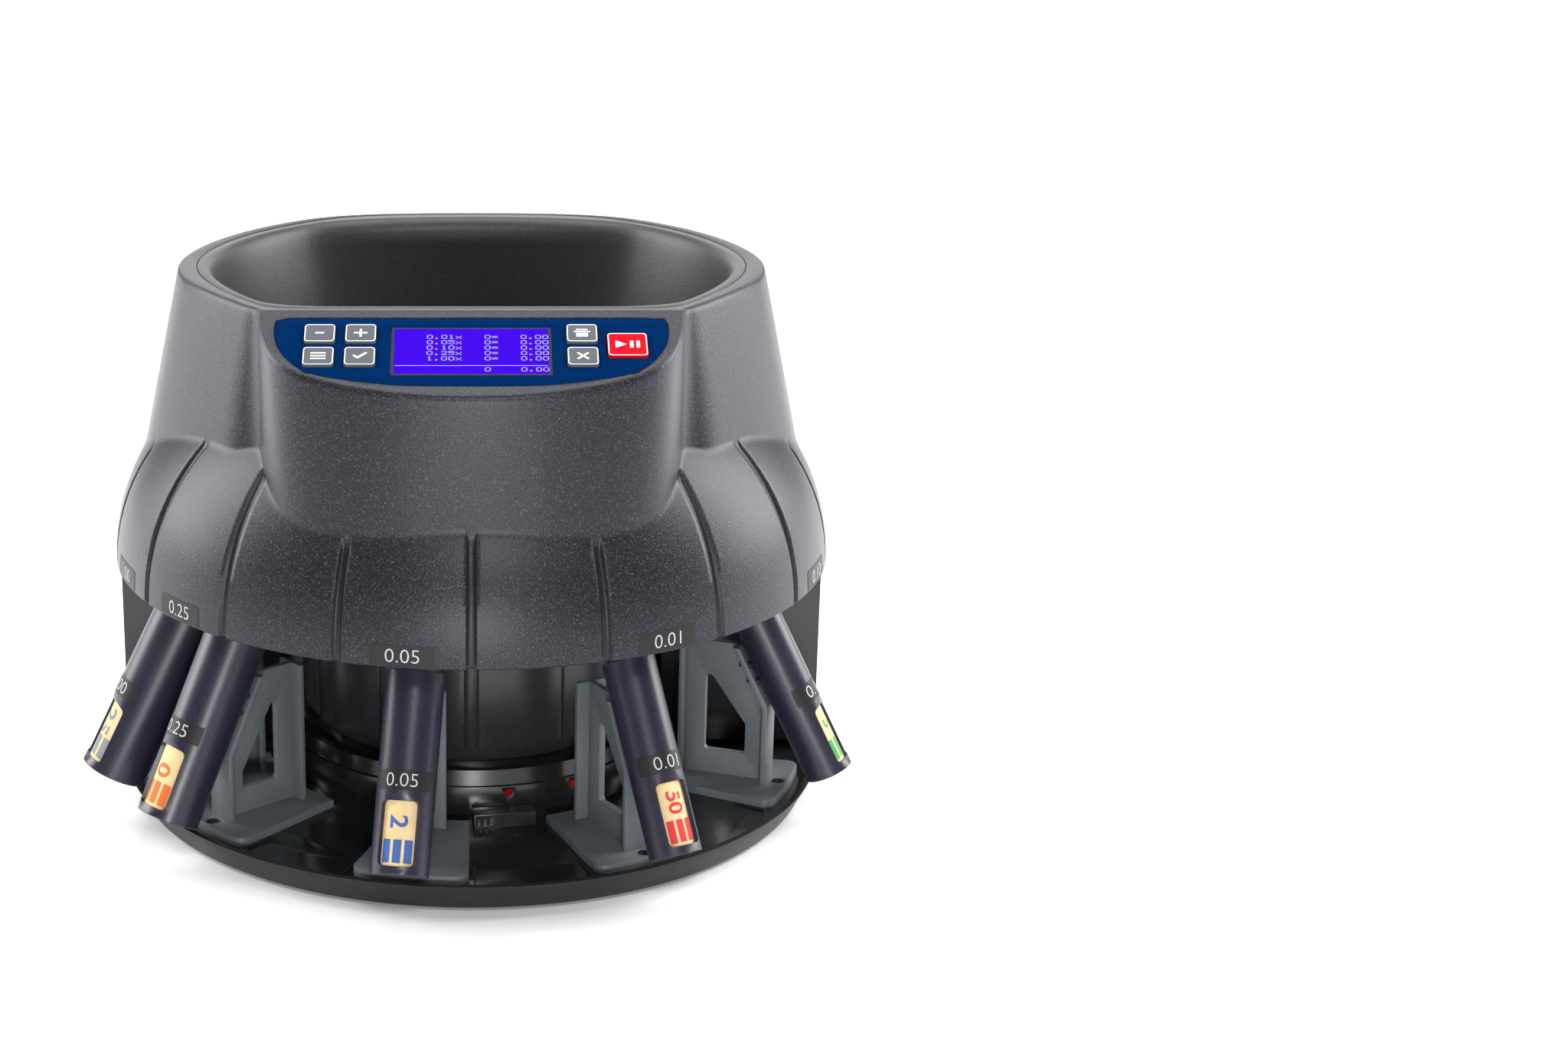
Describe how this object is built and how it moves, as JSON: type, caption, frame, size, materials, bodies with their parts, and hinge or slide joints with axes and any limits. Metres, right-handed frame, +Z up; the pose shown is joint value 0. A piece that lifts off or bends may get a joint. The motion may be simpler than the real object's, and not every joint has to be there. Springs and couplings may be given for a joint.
{
  "type": "coin sorting machine",
  "caption": "Round desktop coin sorter: open hopper over a grooved skirt, sloped control panel in front, leaning coin tubes on brackets round a column, black base and rear housing.",
  "frame": {"origin": "on the machine's upright axis at table level, at the middle foot's lower face", "axes": "+Z up along the feed disc's axis, -Y towards the control panel, +X to the viewer's right"},
  "size_m": [0.3785, 0.353, 0.265],
  "materials": {
    "housing_grey": "fine moulded texture, satin",
    "hopper_grey": "satin moulding",
    "base_black": "polished black moulding",
    "drum_black": "dark glossy moulding",
    "bracket_grey": "plain satin moulding",
    "tube_smoke": "dark smoke plastic",
    "kraft_paper": "uncoated kraft paper",
    "panel_navy": "printed film, satin",
    "display_violet": "backlit display window",
    "key_grey": "moulded key",
    "key_red": "moulded key",
    "lamp_red": "clear red lens",
    "module_black": "moulded",
    "board_green": "solder mask",
    "socket_black": "moulded",
    "deck_aluminium": "turned",
    "steel": "plated",
    "black_steel": "blackened",
    "motor_steel": "plated can",
    "plate_zinc": "zinc plated",
    "bronze": "sintered",
    "disc_grey": "moulded",
    "paddle_orange": "elastic",
    "gear_ivory": "moulded",
    "rubber": "moulded"
  },
  "bodies": {
    "machine": {"base_tray": "base_black", "rubber_feet": "rubber", "column_base": "base_black", "column_drum": "drum_black", "column_clip": "base_black", "indicator_lamps": "lamp_red", "rear_housing": "base_black", "housing_screws": "steel", "bracket_screws": "black_steel", "top_housing": "housing_grey", "hopper_bowl": "hopper_grey", "control_panel": "panel_navy", "display_window": "display_violet", "display_module": "module_black", "control_board": "board_green", "sorting_deck": "deck_aluminium", "sorting_rail": "steel", "coin_chutes": "drum_black", "coin_sensors": "module_black", "shaft_bearings": "bronze", "motor_plate": "plate_zinc", "motor_body": "motor_steel", "main_board": "board_green", "power_supply": "motor_steel", "power_inlet": "socket_black", "switch_frame": "socket_black", "printer_port": "socket_black", "bracket_dollar": "bracket_grey", "bracket_quarter": "bracket_grey", "bracket_nickel": "bracket_grey", "bracket_penny": "bracket_grey", "bracket_dime": "bracket_grey"},
    "dollar_tube": {"tube_dollar": "tube_smoke", "wrapper_dollar": "kraft_paper"},
    "quarter_tube": {"tube_quarter": "tube_smoke", "wrapper_quarter": "kraft_paper"},
    "nickel_tube": {"tube_nickel": "tube_smoke", "wrapper_nickel": "kraft_paper"},
    "penny_tube": {"tube_penny": "tube_smoke", "wrapper_penny": "kraft_paper"},
    "dime_tube": {"tube_dime": "tube_smoke", "wrapper_dime": "kraft_paper"},
    "minus_key": {"key_minus": "key_grey"},
    "plus_key": {"key_plus": "key_grey"},
    "mode_key": {"key_mode": "key_grey"},
    "set_key": {"key_set": "key_grey"},
    "print_key": {"key_print": "key_grey"},
    "clear_key": {"key_clear": "key_grey"},
    "start_key": {"key_start": "key_red"},
    "feed": {"feed_disc": "disc_grey", "paddle_ring": "paddle_orange", "main_shaft": "steel", "drive_gear": "gear_ivory", "hub_nut": "steel"},
    "pinion": {"motor_pinion": "bronze"},
    "rocker": {"power_rocker": "key_red"}
  },
  "joints": [
    {"name": "dollar_tube_pull", "type": "slide", "parent": "machine", "child": "dollar_tube", "axis": [-0.9397, -0.342, 0], "range_m": [0, 0.09]},
    {"name": "quarter_tube_pull", "type": "slide", "parent": "machine", "child": "quarter_tube", "axis": [-0.766, -0.6428, 0], "range_m": [0, 0.09]},
    {"name": "nickel_tube_pull", "type": "slide", "parent": "machine", "child": "nickel_tube", "axis": [-0.1736, -0.9848, 0], "range_m": [0, 0.09]},
    {"name": "penny_tube_pull", "type": "slide", "parent": "machine", "child": "penny_tube", "axis": [0.5, -0.866, 0], "range_m": [0, 0.09]},
    {"name": "dime_tube_pull", "type": "slide", "parent": "machine", "child": "dime_tube", "axis": [0.9397, -0.342, 0], "range_m": [0, 0.09]},
    {"name": "minus_key_press", "type": "slide", "parent": "machine", "child": "minus_key", "axis": [0, 0.342, -0.9397], "range_m": [0, 0.0006], "stiffness_N_per_m": 600},
    {"name": "plus_key_press", "type": "slide", "parent": "machine", "child": "plus_key", "axis": [0, 0.342, -0.9397], "range_m": [0, 0.0006], "stiffness_N_per_m": 600},
    {"name": "mode_key_press", "type": "slide", "parent": "machine", "child": "mode_key", "axis": [0, 0.342, -0.9397], "range_m": [0, 0.0006], "stiffness_N_per_m": 600},
    {"name": "set_key_press", "type": "slide", "parent": "machine", "child": "set_key", "axis": [0, 0.342, -0.9397], "range_m": [0, 0.0006], "stiffness_N_per_m": 600},
    {"name": "print_key_press", "type": "slide", "parent": "machine", "child": "print_key", "axis": [0, 0.342, -0.9397], "range_m": [0, 0.0006], "stiffness_N_per_m": 600},
    {"name": "clear_key_press", "type": "slide", "parent": "machine", "child": "clear_key", "axis": [0, 0.342, -0.9397], "range_m": [0, 0.0006], "stiffness_N_per_m": 600},
    {"name": "start_key_press", "type": "slide", "parent": "machine", "child": "start_key", "axis": [0, 0.342, -0.9397], "range_m": [0, 0.0006], "stiffness_N_per_m": 600},
    {"name": "feed_spin", "type": "hinge", "parent": "machine", "child": "feed", "pos_m": [0, 0, 0.15], "axis": [0, 0, 1], "continuous": true},
    {"name": "pinion_spin", "type": "hinge", "parent": "machine", "child": "pinion", "pos_m": [0, 0.05625, 0.106], "axis": [0, 0, 1], "continuous": true},
    {"name": "power_rock", "type": "hinge", "parent": "machine", "child": "rocker", "pos_m": [-0.012, 0.1525, 0.048], "axis": [1, 0, 0], "range_deg": [-10, 10]}
  ],
  "couplings": [
    {"joint": "pinion_spin", "follows": "feed_spin", "ratio": -4}
  ]
}
